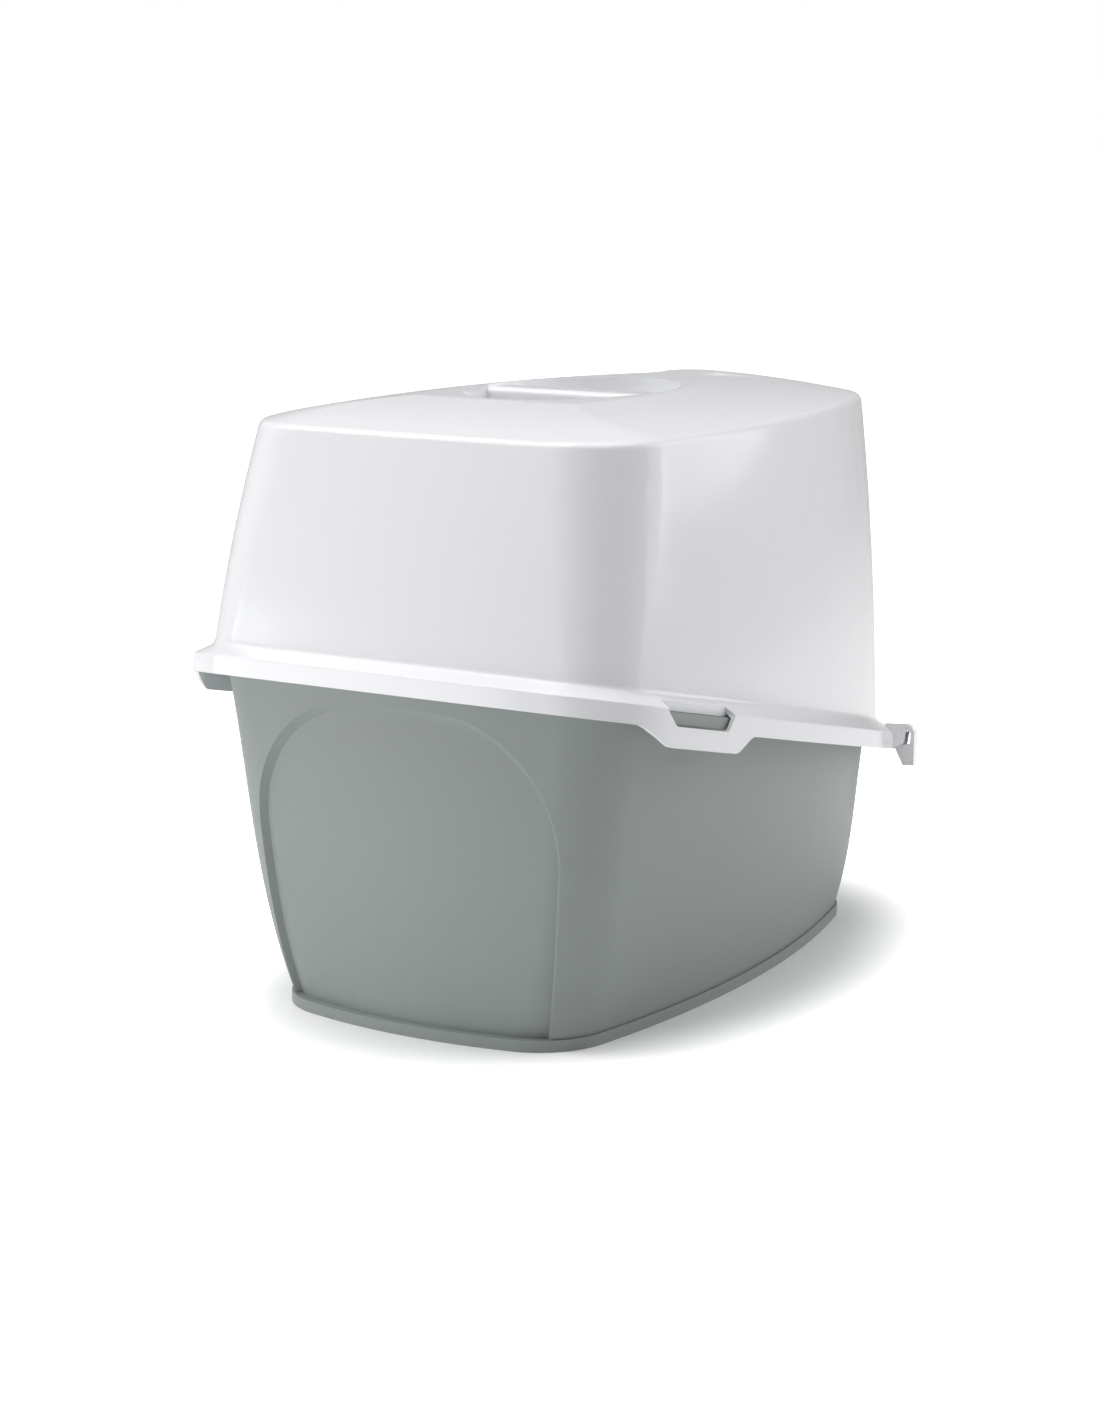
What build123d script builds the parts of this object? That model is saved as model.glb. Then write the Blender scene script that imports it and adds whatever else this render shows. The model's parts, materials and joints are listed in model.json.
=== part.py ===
# Covered litter box: a deep tray with a sloping rim, a lift-off hood with a top handle,
# a swing flap in the front, two front latches and a carbon filter under the roof.
# Millimetres. The entrance looks toward -Y, +Z is up, and the origin is the middle of the
# footprint on the floor.
from build123d import *
import math
import os
from collections import namedtuple

# A plan outline, symmetric about the YZ plane: four arcs with rounded corners
Outline = namedtuple(
    "Outline",
    "back_half mid_half front_half back_y front_y back_bulge front_bulge back_radius front_radius",
)

# Plan outlines of the skirt round the hood, of the roof's edge and of the tray's foot
SKIRT = Outline(177, 190, 116, 269.5, -242, 10.5, 38, 63, 60)
ROOF = Outline(151, 155, 104, 229, -195, 4, 36, 58, 60)
FOOT = Outline(117.5, 131, 92, 235, -195, 19.5, 39, 54, 60)

# Rim plane, where tray and hood part: it slopes down toward the entrance
rim_mid_height = 173.9
rim_slope = 0.217

# Roof
roof_edge_height = 397.0
roof_crown_insets = (30.0, 60.0, 88.0)
roof_crown_rises = (7.5, 12.5, 16.0)
roof_crown_height = roof_edge_height + roof_crown_rises[-1]
roof_edge_radius = 7.0

# Hood section at the rim
wall = 2.5
skirt_height = 13.0
skirt_draft = 0.8
skirt_edge_radius = 1.5
shoulder_width = 12.5
shoulder_drop = 8.0
shoulder_radius = 6.0
hood_belly = 2.0

# Tray section
tray_wall = 3.0
tray_setback = 19.0
foot_height = 8.0
foot_setback = 1.5
foot_recess_margin = 7.0
floor_thickness = 4.0
floor_corner_radius = 12.0
flange_gap = 1.0
flange_thickness = 2.5
flange_lip = 8.0
flange_lip_wall = 2.0
lip_rise = 6.0
seat_gap = 0.3
bend_heights = (0.5, 0.8)
bend_shares = (0.38, 0.67)

# Arched panel pressed into the back wall of the tray
panel_depth = 4.5
panel_y = 256.0
panel_reach = 40.0
panel_half = 132.0
panel_top = 217.0
panel_radius = 95.0
panel_taper = 50.0

# Hand grip on each long side of the hood
grip_y = 186.0
grip_top_length = 114.0
grip_bottom_length = 74.0
grip_depth = 12.5
grip_radius = 12.0
window_top_length = 82.0
window_sill_length = 56.0
window_radius = 5.0
window_rise = 18.5
window_sill = 1.5
window_reach = 8.0
curtain_wall = 2.0
curtain_rise = 16.5
curtain_margin = 4.0

# Entrance, its porch and the swing flap
porch_plane_y = -198.0
porch_reach = 132.0
porch_half = 92.0
porch_bottom = 150.0
porch_top = 348.0
porch_top_radius = 24.0
porch_bottom_radius = 46.0
entrance_margin = 6.0
flap_gap = 2.5
flap_thickness = 2.2
flap_axis_drop = 11.0
flap_border = 8.0
flap_border_rise = 1.2
knuckle_diameter = 8.0
flap_pin_diameter = 4.0
flap_pin_length = 15.0
flap_pin_bite = 8.0
pin_fit = 0.1
ear_size = 11.0
ear_wall = 5.0
ear_gap = 0.5

# Handle: an oval recess in the roof with a bar across it
handle_y = 41.0
recess_half_width = 66.0
recess_half_length = 98.0
recess_depth = 34.0
recess_draft = 8.0
bar_width = 26.0
bar_depth = 13.0
bar_drop = 1.0
bar_radius = 5.0

# Filter under the floor of the recess
vent_count = 5
vent_width = 6.0
vent_length = 36.0
vent_pitch = 12.0
vent_row_offset = 34.0
filter_width = 69.0
filter_length = 121.0
filter_thickness = 8.0
filter_clearance = 0.3
filter_radius = 6.0
frame_wall = 2.0
cover_wall = 2.0
cover_lip = 6.0
cover_gap = 0.4
cover_barrel = 7.0
cover_barrel_length = 40.0
cover_pin = 3.0
cover_slot_count = 8
cover_slot_width = 7.0
cover_slot_length = 50.0
cover_slot_pitch = 13.0

# Front latches
latch_y = -196.0
latch_width = 38.0
latch_axis_out = 5.0
latch_axis_rise = 15.5
latch_reach = 14.5
latch_foot = 12.0
latch_strap = 3.0
latch_barrel = 7.0
latch_pin = 3.0
latch_ear = 3.0
latch_gap = 0.4

wall_lean = math.atan(
    (SKIRT.mid_half - shoulder_width - ROOF.mid_half) / (roof_edge_height - rim_mid_height))
flange_inset = skirt_draft + wall + flange_gap
flange_top = skirt_height - wall + flange_gap * shoulder_drop / shoulder_width - seat_gap
flap_axis_y = porch_plane_y + wall + knuckle_diameter / 2 + ear_gap
flap_axis_z = porch_top - entrance_margin - flap_axis_drop
recess_floor = roof_crown_height - recess_depth
filter_top = recess_floor - wall - seat_gap
cover_top = filter_top - filter_thickness - seat_gap
cover_axis_y = handle_y + filter_length / 2 + filter_clearance + frame_wall + cover_barrel / 2 + ear_gap
cover_axis_z = cover_top - cover_barrel / 2 + seat_gap
os.makedirs("parts", exist_ok=True)


def blend(a, b, share):
    """Outline between a and b: share 0 gives a, share 1 gives b."""
    return Outline(*(p + (q - p) * share for p, q in zip(a, b)))


def inset(o, d):
    """Outline o moved inwards by d all round."""
    return Outline(
        o.back_half - d, o.mid_half - d, o.front_half - d, o.back_y - d, o.front_y + d,
        o.back_bulge, o.front_bulge, max(o.back_radius - d, 6), max(o.front_radius - d, 6),
    )


def plan_face(o, height, slope=0.0):
    """Face whose plan is the outline o, on the plane z = height + slope * y."""
    lean = math.atan(slope)
    longer = 1 / math.cos(lean)
    back = o.back_y * longer
    front = o.front_y * longer
    middle = (back + front) / 2
    a = (o.back_half, back)
    b = (-o.back_half, back)
    c = (-o.front_half, front)
    d = (o.front_half, front)
    face = Face(Wire([
        Edge.make_three_point_arc(a, (0, back + o.back_bulge * longer), b),
        Edge.make_three_point_arc(b, (-o.mid_half, middle), c),
        Edge.make_three_point_arc(c, (0, front - o.front_bulge * longer), d),
        Edge.make_three_point_arc(d, (o.mid_half, middle), a),
    ]))
    corners = [v for v in face.vertices() if v.Y < middle]
    face = face.fillet_2d(o.front_radius, corners)
    corners = [v for v in face.vertices() if abs(abs(v.X) - o.back_half) < 0.01 and v.Y > middle]
    face = face.fillet_2d(o.back_radius, corners)
    plane = Plane(origin=(0, 0, height), x_dir=(1, 0, 0), z_dir=(0, -math.sin(lean), math.cos(lean)))
    return plane * face


def rim_face(o, rise):
    """Outline o on the rim plane raised by rise."""
    return plan_face(o, rim_mid_height + rise, rim_slope)


def rim_height(y, rise=0.0):
    """Height of the rim plane at y, raised by rise."""
    return rim_mid_height + rim_slope * y + rise


def below_rim():
    """Thick slab just below the rim plane."""
    thickness = 60
    lean = math.degrees(math.atan(rim_slope))
    slab = Box(600, 800, thickness, align=(Align.CENTER, Align.CENTER, Align.MAX))
    return Pos(0, 0, rim_mid_height) * Rot(lean, 0, 0) * slab


def ruled(lower, upper):
    """Straight-sided solid between two faces."""
    return Solid.make_loft([lower.outer_wire(), upper.outer_wire()], ruled=True)


def smooth(*faces):
    """Smooth solid through a stack of faces."""
    return Solid.make_loft([face.outer_wire() for face in faces])


def band(o, outer, inner, low, high):
    """Band that follows outline o, from inset outer to inset inner, between two rises of the rim."""
    whole = ruled(rim_face(inset(o, outer), low), rim_face(inset(o, outer), high))
    hole = ruled(rim_face(inset(o, inner), low - 1), rim_face(inset(o, inner), high + 1))
    return whole - hole


def rim_prism(half_lengths, rises, radius=0.0):
    """Prism through both sides of the box, symmetric about grip_y: a half length for each rise."""
    half_outline = [(half, rise) for half, rise in zip(half_lengths, rises)]
    corners = [(grip_y - half, rise) for half, rise in half_outline]
    corners += [(grip_y + half, rise) for half, rise in reversed(half_outline)]
    outline = [(y, rim_height(y, rise)) for y, rise in corners]
    face = make_face(Polyline(*outline, close=True))
    if radius:
        ends = (outline[0], outline[-1]) if len(rises) > 2 else ()
        inner = [v for v in face.vertices()
                 if all(abs(v.X - y) + abs(v.Y - z) > 0.01 for y, z in ends)]
        if len(rises) > 2:
            ends = (outline[1], outline[-2])
            inner = [v for v in inner if all(abs(v.X - y) + abs(v.Y - z) > 0.01 for y, z in ends)]
        face = fillet(inner, radius)
    return extrude(Plane.YZ * face, 260, both=True)


def arch(half, low, high, top_radius, bottom_radius=0.0):
    """Face in the XZ plane with rounded top corners, and rounded bottom corners if asked."""
    face = make_face(Polyline((-half, low), (half, low), (half, high), (-half, high), close=True))
    face = fillet(face.vertices().group_by(Axis.Y)[-1], top_radius)
    if bottom_radius:
        face = fillet(face.vertices().group_by(Axis.Y)[0], bottom_radius)
    return face


def arch_prism(face, start_y, end_y):
    """Prism of an XZ face from start_y to end_y."""
    return extrude(Plane.XZ.offset(-start_y) * face, start_y - end_y)


def oval_pocket(grow, low, high):
    """Tapered oval prism of the handle recess, grown all round."""
    slope = recess_draft / recess_depth
    wires = []
    for z in (low, high):
        wider = grow + (z - roof_crown_height) * slope
        oval = Ellipse(recess_half_width + wider, recess_half_length + wider)
        wires.append((Pos(0, handle_y, z) * oval).face().outer_wire())
    return Solid.make_loft(wires, ruled=True)


def shoulder_rings():
    """(inset, rise) of the rings that round the foot of the hood's wall, from the shoulder up."""
    corner = Vector(skirt_draft + shoulder_width, skirt_height + shoulder_drop)
    outward = Vector(-shoulder_width, -shoulder_drop).normalized()
    upward = Vector(math.sin(wall_lean), math.cos(wall_lean))
    half = math.radians(outward.get_angle(upward)) / 2
    run = shoulder_radius / math.tan(half)
    middle = (outward + upward).normalized() * (shoulder_radius / math.sin(half) - shoulder_radius)
    points = [corner + outward * run, corner + middle, corner + upward * run]
    return [(p.X, p.Y) for p in points]


def hood_form(d):
    """Solid inside the hood's outer skin moved inwards by d: skirt, shoulder, wall and roof."""
    low_rise = -(grip_depth + (2 if d else 1))
    low = rim_face(inset(SKIRT, d + skirt_draft * low_rise / (skirt_height - d)), low_rise)
    edge = rim_face(inset(SKIRT, skirt_draft + d), skirt_height - d)
    form = ruled(low, edge)
    rings = [(skirt_draft + shoulder_width + d, skirt_height + shoulder_drop - d)] if d else shoulder_rings()
    for inward, rise in rings:
        root = rim_face(inset(SKIRT, inward), rise)
        form += ruled(edge, root)
        edge = root
    roof = inset(ROOF, d)
    half_way = (rim_mid_height + rise + roof_edge_height - d) / 2
    middle = plan_face(inset(blend(inset(SKIRT, inward), roof, 0.5), -hood_belly), half_way, rim_slope / 2)
    top = plan_face(roof, roof_edge_height - d)
    crown = [
        plan_face(inset(roof, inward), roof_edge_height - d + rise)
        for inward, rise in zip(roof_crown_insets, roof_crown_rises)
    ]
    form += smooth(root, middle, top) + smooth(top, *crown)
    at_roof = [e for e in form.edges() if abs(e.center().Z - roof_edge_height + d) < 0.2]
    form = fillet(at_roof, roof_edge_radius - d)
    if not d:
        at_edge = [e for e in form.edges()
                   if abs(e.center().Z - rim_height(e.center().Y, skirt_height)) < 0.3]
        form = fillet(at_edge, skirt_edge_radius)
    return form


def tray_form(d, low):
    """Solid inside the tray's outer skin moved inwards by d, from height low up to the rim."""
    upper = inset(SKIRT, tray_setback + d)
    lower = inset(FOOT, foot_setback + d)
    top_rise = flange_top + lip_rise
    faces = []
    for fall, share in zip((0, *bend_heights, 1), (0, *bend_shares, 1)):
        height = (rim_mid_height + top_rise) * (1 - fall) + low * fall
        faces.append(plan_face(blend(upper, lower, share), height, rim_slope * (1 - fall)))
    return smooth(*reversed(faces))


def make_tray():
    outside = tray_form(0, foot_height)
    inside = tray_form(tray_wall, foot_height)
    at_floor = inside.edges().group_by(Axis.Z)[0]
    inside = fillet(at_floor, floor_corner_radius)
    pressed = panel_cutter(0) - tray_form(panel_depth, foot_height - 1)
    kept = panel_cutter(tray_wall) - tray_form(panel_depth + tray_wall, foot_height - 2)
    outside = outside - pressed
    inside = inside - kept
    foot = extrude(plan_face(FOOT, 0), foot_height)
    foot = foot - extrude(plan_face(inset(FOOT, foot_recess_margin), 0), foot_height - floor_thickness)
    flange = band(SKIRT, flange_inset, tray_setback + 1, flange_top - flange_thickness, flange_top)
    lip = band(SKIRT, flange_inset, flange_inset + flange_lip_wall, flange_top - flange_lip, flange_top)
    return outside + foot + flange + lip - inside


def panel_cutter(grow):
    """Tapered arch that presses the back panel into the tray, at its stated size on the plane panel_y."""
    wires = []
    for reach in (-panel_reach, panel_reach):
        wider = grow + reach * math.tan(math.radians(panel_taper))
        face = arch(panel_half + wider, floor_thickness, panel_top + wider, panel_radius + wider)
        wires.append((Plane.XZ.offset(-panel_y - reach) * face).face().outer_wire())
    return Solid.make_loft(wires, ruled=True)


def latch_frame(side):
    """Plane at a front corner of the skirt: x points out, y runs along the rim, z is up."""
    level = rim_height(latch_y)
    line = rim_face(SKIRT, 0).outer_wire()
    cut = Plane.XZ.offset(-latch_y)
    points = [v.center() for v in line.intersect(cut).vertices()]
    point = max(points, key=lambda p: side * p.X)
    share = line.param_at_point(point)
    along = line.tangent_at(share)
    along = along if along.Y > 0 else -along
    out = Vector(side * abs(along.Y), -along.X * side * (1 if along.Y > 0 else -1), 0).normalized()
    up = out.cross(along) * side
    return Plane(origin=point, x_dir=out, z_dir=up)


def latch_block(frame, points, width, start=0.0, radius=0.0, picks=()):
    """Block of an (out, rise) outline, drawn on the latch frame and extruded along the rim."""
    face = make_face(Polyline(*points, close=True))
    if radius:
        picked = [v for v in face.vertices() for i in picks
                  if abs(v.X - points[i][0]) + abs(v.Y - points[i][1]) < 0.01]
        face = fillet(picked, radius)
    section = Plane(origin=(0, start - width / 2, 0), x_dir=(1, 0, 0), z_dir=(0, -1, 0))
    solid = extrude(section * face, -width)
    return frame * solid


def latch_rod(frame, diameter, width, start=0.0):
    """Rod along the hinge axis of a latch."""
    rod = Pos(latch_axis_out, start, latch_axis_rise) * Rot(90, 0, 0) * Cylinder(diameter / 2, width)
    return frame * rod


def make_latch(side):
    frame = latch_frame(side)
    top = latch_axis_rise + latch_barrel / 2
    inner = latch_reach - latch_strap
    outline = [
        (latch_axis_out, top), (latch_reach - 4, top), (latch_reach, top - 6), (latch_reach, -latch_foot),
        (6.5, -latch_foot), (1.2, -1), (1.2, 2), (inner, 4.5), (inner, top - 7.5),
        (inner - 2.5, top - latch_strap), (latch_axis_out, top - latch_strap),
    ]
    block = latch_block(frame, outline, latch_width)
    block += latch_rod(frame, latch_barrel, latch_width)
    return block - latch_rod(frame, latch_pin + 2 * pin_fit, latch_width + 2)


def make_latch_pin(side):
    frame = latch_frame(side)
    return latch_rod(frame, latch_pin, latch_width + 2 * latch_gap + 2 * latch_ear)


def latch_ears(side):
    """Two ears of the hood that hold the ends of a latch pin."""
    frame = latch_frame(side)
    ears = None
    offset = latch_width / 2 + latch_gap + latch_ear / 2
    outline = [(-7, 19), (latch_axis_out, 19), (8.5, latch_axis_rise), (7, 4), (0, 0.6), (-7, 0.6)]
    for start in (-offset, offset):
        ear = latch_block(frame, outline, latch_ear, start, 2, (1, 2, 3))
        ear -= latch_rod(frame, latch_pin, latch_ear + 1, start)
        ears = ear if ears is None else ears + ear
    return ears


def entrance_opening(margin):
    """Arch of the porch with a margin all round."""
    return arch(
        porch_half - margin, porch_bottom + margin, porch_top - margin,
        porch_top_radius - margin, porch_bottom_radius - margin,
    )


def make_flap():
    half_gap = entrance_margin + flap_gap
    face = entrance_opening(half_gap)
    rim = arch_prism(face, flap_axis_y - flap_thickness / 2, flap_axis_y + flap_thickness / 2)
    raised = arch_prism(
        face, flap_axis_y - flap_thickness / 2 - flap_border_rise,
        flap_axis_y + flap_thickness / 2 + flap_border_rise,
    )
    middle = arch_prism(entrance_opening(half_gap + flap_border), flap_axis_y - 10, flap_axis_y + 10)
    flap = rim + (raised - middle)
    for side in (-1, 1):
        start = side * (porch_half - half_gap - flap_pin_bite / 2)
        flap += Pos(start, flap_axis_y, flap_axis_z) * Rot(0, 90, 0) * Cylinder(knuckle_diameter / 2, flap_pin_bite)
        flap -= flap_pin(side, 2 * pin_fit, 2 * ear_gap)
    return flap


def flap_pin(side, wider=0.0, longer=0.0):
    start = side * (porch_half - entrance_margin - flap_gap - flap_pin_bite + flap_pin_length / 2)
    rod = Cylinder((flap_pin_diameter + wider) / 2, flap_pin_length + longer)
    return Pos(start, flap_axis_y, flap_axis_z) * Rot(0, 90, 0) * rod


def flap_ears():
    """Two blocks on the inside of the porch that hold the flap's pins."""
    ears = None
    for side in (-1, 1):
        start = side * (porch_half - entrance_margin - flap_gap + ear_gap + ear_wall / 2)
        length = flap_axis_y + ear_size / 2 - porch_plane_y - wall / 2
        ear = Pos(start, flap_axis_y + ear_size / 2 - length / 2, flap_axis_z) * Box(ear_wall, length, ear_size)
        ear -= Pos(start, flap_axis_y, flap_axis_z) * Rot(0, 90, 0) * Cylinder(flap_pin_diameter / 2, ear_wall + 2)
        ears = ear if ears is None else ears + ear
    return ears


def filter_block(grow, low, high):
    """Rounded rectangular block round the filter, grown all round."""
    plan = RectangleRounded(filter_width + 2 * grow, filter_length + 2 * grow, filter_radius + grow)
    return extrude(Pos(0, handle_y, low) * plan, high - low)


def cover_ears():
    """Two ears on the filter frame that hold the cover's hinge pin ends."""
    ears = None
    offset = cover_barrel_length / 2 + ear_gap + frame_wall
    reach = cover_barrel + ear_gap + frame_wall
    for side in (-1, 1):
        height = filter_top + 1 - cover_axis_z + cover_barrel / 2
        ear = Pos(side * offset, cover_axis_y + cover_barrel / 2 - reach / 2,
                  cover_axis_z - cover_barrel / 2 + height / 2) * Box(2 * frame_wall, reach, height)
        ear -= Pos(side * offset, cover_axis_y, cover_axis_z) * Rot(0, 90, 0) * Cylinder(
            cover_pin / 2 + pin_fit, 2 * frame_wall + 1)
        ears = ear if ears is None else ears + ear
    return ears


def make_cover():
    """Slotted cover under the filter, hinged at its rear edge."""
    inner = filter_clearance + frame_wall + cover_gap
    outer = inner + cover_wall
    plate = filter_block(outer, cover_top - cover_wall, cover_top)
    lip = filter_block(outer, cover_top - cover_wall, cover_top + cover_lip)
    lip -= filter_block(inner, cover_top - 5, cover_top + cover_lip + 1)
    rear = handle_y + filter_length / 2 - filter_radius
    lip -= Pos(0, rear + 50, cover_top + 10) * Box(200, 100, 20)
    cover = plate + lip
    rear = cover_axis_y - cover_barrel / 2 - frame_wall - 4 * ear_gap
    cover -= Pos(0, rear + 40, cover_axis_z) * Box(200, 80, 30)
    arm = Pos(0, cover_axis_y - 5, cover_top - cover_wall / 2) * Box(cover_barrel_length, 10, cover_wall)
    barrel = Pos(0, cover_axis_y, cover_axis_z) * Rot(0, 90, 0) * Cylinder(cover_barrel / 2, cover_barrel_length)
    spigots = Pos(0, cover_axis_y, cover_axis_z) * Rot(0, 90, 0) * Cylinder(
        cover_pin / 2, cover_barrel_length + 2 * (ear_gap + 2 * frame_wall))
    cover = cover + arm + barrel + spigots
    first = handle_y - cover_slot_pitch * (cover_slot_count - 1) / 2
    for i in range(cover_slot_count):
        slot = SlotOverall(cover_slot_length, cover_slot_width)
        cover -= extrude(Pos(0, first + i * cover_slot_pitch, cover_top - cover_wall - 1) * slot, cover_wall + 2)
    return cover


def make_hood():
    skin = hood_form(0)
    inside = hood_form(wall)
    front = porch_plane_y - porch_reach
    niche_face = entrance_opening(0)
    niche = arch_prism(niche_face, front, porch_plane_y)
    niche_box = arch_prism(entrance_opening(-wall), front, porch_plane_y + wall)
    opening = arch_prism(entrance_opening(entrance_margin), front, porch_plane_y + 20)
    bowl = oval_pocket(wall, recess_floor - wall, roof_crown_height + 5) & skin
    pocket = oval_pocket(0, recess_floor, roof_crown_height + 6)
    frame = filter_block(filter_clearance + frame_wall, cover_top + seat_gap, recess_floor - wall / 2)
    frame -= filter_block(filter_clearance, cover_top, filter_top + seat_gap)
    hood = (skin - inside) + (skin & niche_box) + bowl + frame + cover_ears()
    hood = hood - niche - opening - pocket
    hood += handle_bar() & oval_pocket(wall / 2, recess_floor, roof_crown_height + 6)
    hood += flap_ears()
    for i in range(vent_count):
        x = (i - (vent_count - 1) / 2) * vent_pitch
        for row in (-vent_row_offset, vent_row_offset):
            slot = Rot(0, 0, 90) * SlotOverall(vent_length, vent_width)
            hood -= extrude(Pos(x, handle_y + row, recess_floor - wall - 1) * slot, wall + 2)
    wing = grip_top_length / 2 + grip_radius
    dip = rim_prism(
        (wing, wing, grip_top_length / 2, grip_bottom_length / 2), (2, 0, 0, -grip_depth), grip_radius)
    hood -= below_rim() - dip
    window = rim_prism((window_top_length / 2, window_sill_length / 2), (window_rise, window_sill), window_radius)
    core = ruled(rim_face(inset(SKIRT, window_reach), -5), rim_face(inset(SKIRT, window_reach), 30))
    hood -= window - core
    behind = window_top_length / 2 + curtain_margin
    curtain = rim_prism((behind, behind), (curtain_rise, flange_top + seat_gap))
    hood += curtain & band(SKIRT, window_reach, window_reach + curtain_wall, flange_top, curtain_rise + 0.5)
    for side in (-1, 1):
        hood += latch_ears(side) - inside
    return hood


def handle_bar():
    """Bar across the handle recess, its top a little below the crown of the roof."""
    length = 2 * recess_half_width + 10
    bar = Pos(0, handle_y, roof_crown_height - bar_drop - bar_depth / 2) * Box(length, bar_width, bar_depth)
    return fillet(bar.edges().filter_by(Axis.X), bar_radius)


export_step(make_tray(), "parts/litter_tray.step")
export_step(make_hood(), "parts/hood.step")
export_step(make_flap(), "parts/flap_door.step")
export_step(filter_block(0, cover_top + seat_gap, filter_top), "parts/carbon_filter.step")
export_step(make_cover(), "parts/filter_cover.step")
for name, side in (("left", 1), ("right", -1)):
    export_step(flap_pin(side), f"parts/flap_pin_{name}.step")
    export_step(make_latch(side), f"parts/latch_{name}.step")
    export_step(make_latch_pin(side), f"parts/latch_pin_{name}.step")
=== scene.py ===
# %% [markdown]
# # A covered litter box
# The real object is two large mouldings and a few small ones: a glossy white hood on a satin
# grey-green tray. The shapes come from the solid model, so this lesson is about finishing them:
# clean shading, moulded plastic, a plain studio and a camera at the photograph's place.

# %% Load the solid model
import json
import math
import bmesh
import bpy
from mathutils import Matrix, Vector

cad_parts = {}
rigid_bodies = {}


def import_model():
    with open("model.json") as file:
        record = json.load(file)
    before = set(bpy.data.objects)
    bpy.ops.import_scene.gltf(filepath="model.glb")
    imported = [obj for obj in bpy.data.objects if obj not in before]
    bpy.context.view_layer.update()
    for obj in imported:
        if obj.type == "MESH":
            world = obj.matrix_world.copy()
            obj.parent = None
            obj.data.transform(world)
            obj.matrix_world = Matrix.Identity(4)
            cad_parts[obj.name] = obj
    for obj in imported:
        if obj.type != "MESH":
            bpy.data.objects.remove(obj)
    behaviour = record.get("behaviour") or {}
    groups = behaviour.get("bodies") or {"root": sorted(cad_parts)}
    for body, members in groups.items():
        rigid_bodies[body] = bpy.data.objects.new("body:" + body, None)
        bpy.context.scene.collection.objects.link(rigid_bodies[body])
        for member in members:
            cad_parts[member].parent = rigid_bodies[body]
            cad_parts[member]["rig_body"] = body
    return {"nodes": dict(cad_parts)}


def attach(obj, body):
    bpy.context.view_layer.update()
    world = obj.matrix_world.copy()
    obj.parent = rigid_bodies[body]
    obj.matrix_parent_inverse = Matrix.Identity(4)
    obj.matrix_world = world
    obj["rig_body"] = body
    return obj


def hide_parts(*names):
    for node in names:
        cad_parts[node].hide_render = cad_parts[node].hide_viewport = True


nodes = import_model()["nodes"]
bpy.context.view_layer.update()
print("solids:", ", ".join(sorted(nodes)))

# %% [markdown]
# ## Shader maths in plain expressions
# Moulded plastic needs small changes over its surface: a grain, a little unevenness in its gloss.
# Wiring each Math node by hand hides the idea. A class that wraps a socket and overloads + - *
# lets a material be read as a formula.


# %% A socket that can be added and multiplied
class Field:
    """A number or colour that changes over a surface."""

    def __init__(self, tree, socket):
        self.tree = tree
        self.socket = socket

    def math(self, operation, other, swap=False):
        node = self.tree.nodes.new("ShaderNodeMath")
        node.operation = operation
        pair = (other, self) if swap else (self, other)
        for place, value in zip(node.inputs, pair):
            if isinstance(value, Field):
                self.tree.links.new(value.socket, place)
            else:
                place.default_value = value
        return Field(self.tree, node.outputs[0])

    def __add__(self, other):
        return self.math("ADD", other)

    def __sub__(self, other):
        return self.math("SUBTRACT", other)

    def __rsub__(self, other):
        return self.math("SUBTRACT", other, swap=True)

    def __mul__(self, other):
        return self.math("MULTIPLY", other)

    __radd__ = __add__
    __rmul__ = __mul__

    def power(self, exponent):
        return self.math("POWER", exponent)

    def between(self, low, high):
        """0 below low, 1 above high, and a smooth rise from one to the other."""
        node = self.tree.nodes.new("ShaderNodeMapRange")
        node.interpolation_type = "SMOOTHSTEP"
        self.tree.links.new(self.socket, node.inputs["Value"])
        node.inputs["From Min"].default_value = low
        node.inputs["From Max"].default_value = high
        return Field(self.tree, node.outputs["Result"])


print("fields add, subtract and multiply")

# %% [markdown]
# ## One class for every finish
# Each finish is one Principled shader with a few nodes in front of it. The class below makes the
# shader, adds any other node in one line, and has short names for the four things that the plastics
# and the foam need: a noise, a fed socket, a colour between two colours, and a bump.


# %% A material with one shader
class Finish:
    """A material with one shader, and a short way to add any other node."""

    def __init__(self, name, **settings):
        self.material = bpy.data.materials.new(name)
        self.material.use_nodes = True
        self.tree = self.material.node_tree
        self.shader = self.tree.nodes["Principled BSDF"]
        for key, value in settings.items():
            self.shader.inputs[key.replace("_", " ")].default_value = value

    def node(self, kind, settings=(), **inputs):
        made = self.tree.nodes.new(kind)
        for key, value in dict(settings).items():
            setattr(made, key, value)
        for key, value in inputs.items():
            place = made.inputs[key.replace("_", " ")]
            if isinstance(value, Field):
                self.tree.links.new(value.socket, place)
            else:
                place.default_value = value
        return made

    def field(self, made, output):
        return Field(self.tree, made.outputs[output])

    def place(self):
        """Object coordinates, in metres."""
        return self.field(self.node("ShaderNodeTexCoord"), "Object")

    def noise(self, scale, detail=2.0):
        made = self.node("ShaderNodeTexNoise", Vector=self.place(), Scale=scale, Detail=detail)
        return self.field(made, "Fac")

    def feed(self, socket, value):
        self.tree.links.new(value.socket, self.shader.inputs[socket])

    def tint(self, dark, light, share):
        """Colour that goes from dark to light as share goes from 0 to 1."""
        made = self.node("ShaderNodeMix", {"data_type": "RGBA"})
        colours = [socket for socket in made.inputs if socket.type == "RGBA"]
        for socket, colour in zip(colours, (dark, light)):
            socket.default_value = colour
        self.tree.links.new(share.socket, made.inputs[0])
        result = next(socket for socket in made.outputs if socket.type == "RGBA")
        self.feed("Base Color", Field(self.tree, result))

    def bump(self, height, distance, strength=1.0):
        made = self.node("ShaderNodeBump", Height=height, Distance=distance, Strength=strength)
        self.feed("Normal", self.field(made, "Normal"))


PLASTIC_IOR = 1.49
print("finishes share one refractive index,", PLASTIC_IOR)

# %% [markdown]
# ## The white of the hood
# The hood is glossy polypropylene, polished in the mould. Its white is slightly cool, and its gloss
# is broken only by a very faint unevenness, which shows in the edges of reflections. One broad
# noise, about a hand's width across, drives both the gloss and the bump.

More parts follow.
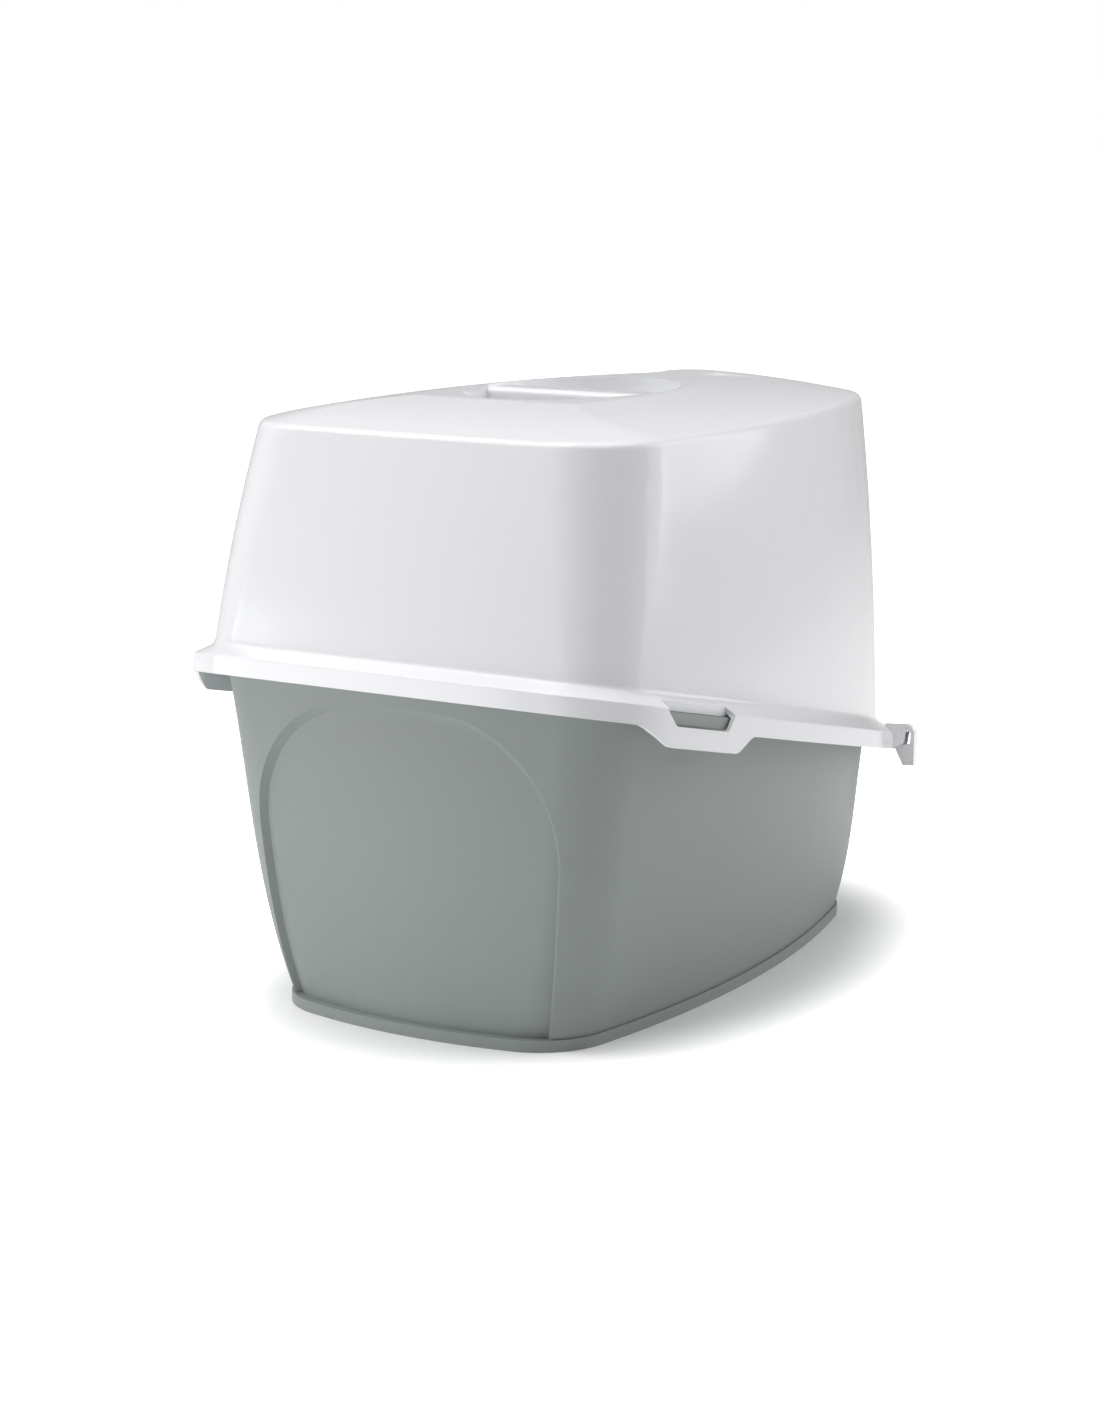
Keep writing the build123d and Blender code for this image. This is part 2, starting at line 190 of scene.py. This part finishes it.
# %% Glossy white plastic
COOL_WHITE = (0.83, 0.835, 0.855, 1)
RIPPLE_SCALE = 9.0
RIPPLE_HEIGHT = 0.0006
RIPPLE_STRENGTH = 0.35
HOOD_GLOSS = 0.13
HOOD_GLOSS_SPREAD = 0.05

hood_finish = Finish("hood_white", Base_Color=COOL_WHITE, IOR=PLASTIC_IOR)
ripple = hood_finish.noise(RIPPLE_SCALE, detail=1.0)
hood_finish.feed("Roughness", ripple * HOOD_GLOSS_SPREAD + HOOD_GLOSS)
hood_finish.bump(ripple, RIPPLE_HEIGHT, RIPPLE_STRENGTH)
print("hood finish:", hood_finish.material.name)

# %% [markdown]
# ## The grey-green of the tray
# The tray is the same plastic with a satin, very finely grained skin, so it scatters light more and
# shows no clear reflection. Two scales of noise do it: a grain of about half a millimetre in the
# bump, and a slow drift in the colour.

# %% Satin grey-green plastic
DARK_GREY_GREEN = (0.276, 0.307, 0.301, 1)
LIGHT_GREY_GREEN = (0.294, 0.326, 0.320, 1)
DRIFT_SCALE = 6.0
GRAIN_SCALE = 1800.0
GRAIN_HEIGHT = 0.00004
GRAIN_STRENGTH = 0.5
TRAY_SATIN = 0.38
SATIN_DRIFT = 0.06
SATIN_GRAIN = 0.05

tray_finish = Finish("tray_grey_green", IOR=PLASTIC_IOR)
drift = tray_finish.noise(DRIFT_SCALE)
tray_finish.tint(DARK_GREY_GREEN, LIGHT_GREY_GREEN, drift)
grain = tray_finish.noise(GRAIN_SCALE)
tray_finish.feed("Roughness", drift * SATIN_DRIFT + grain * SATIN_GRAIN + TRAY_SATIN)
tray_finish.bump(grain, GRAIN_HEIGHT, GRAIN_STRENGTH)
print("tray finish:", tray_finish.material.name)

# %% [markdown]
# ## The small pieces
# The swing flap is a smoky see-through pane, the pins are uncoloured plastic, and the filter is a
# pad of black foam. The foam's pores are a fine noise that darkens the colour and dents the surface.

# %% Smoky flap, natural pins, black foam
SMOKE = (0.30, 0.32, 0.33, 1)
SMOKE_ALPHA = 0.55
FLAP_RIPPLE_SCALE = 30.0
FLAP_GLOSS = 0.1
FLAP_GLOSS_SPREAD = 0.06
NATURAL = (0.72, 0.73, 0.74, 1)
PIN_GRAIN_SCALE = 400.0
PIN_SATIN = 0.3
PIN_SATIN_SPREAD = 0.1
PORE_BLACK = (0.012, 0.012, 0.012, 1)
FOAM_BLACK = (0.06, 0.06, 0.06, 1)
PORE_SCALE = 700.0
PORE_DEPTH = 0.0012
FOAM_ROUGHNESS = 0.9

flap_finish = Finish("flap_smoke", Base_Color=SMOKE, IOR=PLASTIC_IOR, Alpha=SMOKE_ALPHA)
flap_finish.feed("Roughness", flap_finish.noise(FLAP_RIPPLE_SCALE) * FLAP_GLOSS_SPREAD + FLAP_GLOSS)
pin_finish = Finish("pin_natural", Base_Color=NATURAL, IOR=PLASTIC_IOR)
pin_finish.feed("Roughness", pin_finish.noise(PIN_GRAIN_SCALE) * PIN_SATIN_SPREAD + PIN_SATIN)
foam_finish = Finish("foam_black", Roughness=FOAM_ROUGHNESS)
pores = foam_finish.noise(PORE_SCALE, detail=3.0)
foam_finish.tint(PORE_BLACK, FOAM_BLACK, pores)
foam_finish.bump(pores, PORE_DEPTH)
print("small finishes:", flap_finish.material.name, pin_finish.material.name, foam_finish.material.name)

# %% [markdown]
# ## Clean shading for the solids
# The solid model arrives as loose triangles. A merged copy can be shaded smoothly: corners sharper
# than a chosen angle stay crisp, and everything flatter blends, as a polished mould does.

# %% Merged, smoothly shaded copies
MERGE_DISTANCE = 0.000005
SHARP_ANGLE = math.radians(34.0)


def finished(name, node, finish):
    """Merged copy of a solid, shaded smooth up to an angle, standing for that solid."""
    source = nodes[node]
    mesh = source.data.copy()
    mesh.name = name
    shape = bmesh.new()
    shape.from_mesh(mesh)
    bmesh.ops.remove_doubles(shape, verts=shape.verts, dist=MERGE_DISTANCE)
    for face in shape.faces:
        face.smooth = True
    for edge in shape.edges:
        edge.smooth = len(edge.link_faces) == 2 and edge.calc_face_angle(0) < SHARP_ANGLE
    shape.to_mesh(mesh)
    shape.free()
    piece = bpy.data.objects.new(name, mesh)
    bpy.context.scene.collection.objects.link(piece)
    mesh.materials.clear()
    mesh.materials.append(finish.material)
    for polygon in mesh.polygons:
        polygon.material_index = 0
    weighted = piece.modifiers.new("even_shading", "WEIGHTED_NORMAL")
    weighted.keep_sharp = True
    weighted.weight = 100
    body = source["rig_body"]
    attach(piece, body)
    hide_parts(node)
    print(name, "rides on", body, "with", len(mesh.polygons), "triangles")


finished("hood_shell", "hood", hood_finish)
finished("tray_shell", "litter_tray", tray_finish)
finished("flap_pane", "flap_door", flap_finish)
finished("filter_pad", "carbon_filter", foam_finish)
finished("filter_lid", "filter_cover", tray_finish)
for side in ("left", "right"):
    finished("latch_clip_" + side, "latch_" + side, hood_finish)
    finished("latch_rod_" + side, "latch_pin_" + side, pin_finish)
    finished("flap_rod_" + side, "flap_pin_" + side, pin_finish)

# %% [markdown]
# ## A plain studio
# The photograph has a white floor that runs out into white, a soft shadow at the right, and large
# soft boxes whose edges show in the glossy hood. The world is pure white to the camera, but lights
# the scene with only a quarter of that, so that the lamps do the modelling.

# %% The world
WORLD_SEEN = 1.0
WORLD_LIGHT = 0.25

world = bpy.data.worlds.new("studio")
bpy.context.scene.world = world
world.use_nodes = True
sky = world.node_tree
background = sky.nodes["Background"]
background.inputs["Color"].default_value = (1, 1, 1, 1)
sky_path = sky.nodes.new("ShaderNodeLightPath")
sky_strength = Field(sky, sky_path.outputs["Is Camera Ray"]) * (WORLD_SEEN - WORLD_LIGHT) + WORLD_LIGHT
sky.links.new(sky_strength.socket, background.inputs["Strength"])
print("world seen at", WORLD_SEEN, "and lighting at", WORLD_LIGHT)

# %% [markdown]
# ## A floor that runs out into white
# A real floor keeps its shadow close to the box and is overexposed further out. Here that white is
# painted: the floor glows to the camera only, hardly at all inside an oval around the foot, and fully
# beyond a second one. Inside the inner oval the rendered shadow shows. Further out the painted glow
# covers it, so the ovals set how far the floor's shadow reaches. The glow lights nothing, so it leaves
# the box's own shading alone.

# %% The floor
FLOOR_REACH = 40.0
FLOOR_WHITE = (0.97, 0.97, 0.97, 1)
FLOOR_ROUGHNESS = 0.9
FLOOR_SHEEN = 0.1
# The ovals set where the painted glow starts, and so how far the floor's shadow shows.
OVAL_HALF_WIDTH = 0.16
OVAL_HALF_LENGTH = 0.25
OVAL_MIDDLE = 0.02
GLOW_STARTS = 0.95
GLOW_FULL = 1.7
LEAST_GLOW = 0.02

floor_mesh = bpy.data.meshes.new("floor")
corners = ((-1, -1), (1, -1), (1, 1), (-1, 1))
floor_mesh.from_pydata([(x * FLOOR_REACH, y * FLOOR_REACH, 0) for x, y in corners], [], [(0, 1, 2, 3)])
floor = bpy.data.objects.new("floor", floor_mesh)
bpy.context.scene.collection.objects.link(floor)

floor_finish = Finish("floor_white_painted_glow", Base_Color=FLOOR_WHITE, Roughness=FLOOR_ROUGHNESS,
                      Specular_IOR_Level=FLOOR_SHEEN, Emission_Strength=1.0)
seen = floor_finish.field(floor_finish.node("ShaderNodeLightPath"), "Is Camera Ray")
spot = floor_finish.node("ShaderNodeSeparateXYZ", Vector=floor_finish.place())
across = floor_finish.field(spot, "X") * (1 / OVAL_HALF_WIDTH)
along = (floor_finish.field(spot, "Y") - OVAL_MIDDLE) * (1 / OVAL_HALF_LENGTH)
ovals_out = (across * across + along * along).power(0.5)
painted_glow = ovals_out.between(GLOW_STARTS, GLOW_FULL)
# Painted glow: camera-only emission that whitens the floor outside the oval and paints out its shadow
# there.
floor_finish.feed("Emission Color", seen * (painted_glow * (1 - LEAST_GLOW) + LEAST_GLOW))
floor_mesh.materials.append(floor_finish.material)
print("floor glows from", GLOW_STARTS, "to", GLOW_FULL, "ovals out")

# %% [markdown]
# ## The lamps
# Two boxes above give the bright roof and back. A low one lifts the back panel, and two weak ones on
# the camera's right keep the long side from going dark.


# %% Soft boxes
def soft_box(name, place, aim, size, watts):
    """Area lamp at place, facing aim."""
    data = bpy.data.lights.new(name, "AREA")
    data.shape = "RECTANGLE"
    data.size, data.size_y = size
    data.energy = watts
    lamp = bpy.data.objects.new(name, data)
    bpy.context.scene.collection.objects.link(lamp)
    lamp.location = place
    lamp.rotation_euler = (Vector(aim) - Vector(place)).to_track_quat("-Z", "Y").to_euler()


middle = (0, 0, 0.2)
back_panel = (0, 0.25, 0.12)
long_side = (-0.1, -0.2, 0.15)
soft_box("overhead", (0.0, 0.01, 2.6), middle, size=(2.2, 2.2), watts=32)
soft_box("high_left", (1.21, 0.7, 2.4), middle, size=(1.8, 1.8), watts=34)
soft_box("low_left", (0.75, 1.05, 0.2), back_panel, size=(0.9, 0.36), watts=3.5)
soft_box("front_right", (-1.54, -1.84, 1.2), middle, size=(1.4, 1.6), watts=13.5)
soft_box("right_near", (-1.36, -0.63, 0.8), long_side, size=(0.9, 1.2), watts=4.2)

# %% [markdown]
# ## The camera
# The photograph was taken from behind and from the box's right side, slightly above, with a long
# lens. Position and direction come from matching measured outlines of the object.

# %% Camera at the photograph's place
view_direction = Vector((0.5322, -0.8252, -0.1892))
camera_data = bpy.data.cameras.new("camera")
camera_data.lens = 102.2
camera_data.sensor_width = 36.0
camera_data.sensor_fit = "HORIZONTAL"
camera = bpy.data.objects.new("camera", camera_data)
bpy.context.scene.collection.objects.link(camera)
camera.location = (-1.1632, 1.8754, 0.6029)
camera.rotation_euler = view_direction.to_track_quat("-Z", "Y").to_euler()
bpy.context.scene.camera = camera
bpy.context.scene.view_settings.view_transform = "Standard"
print("camera at", tuple(round(v, 3) for v in camera.location))
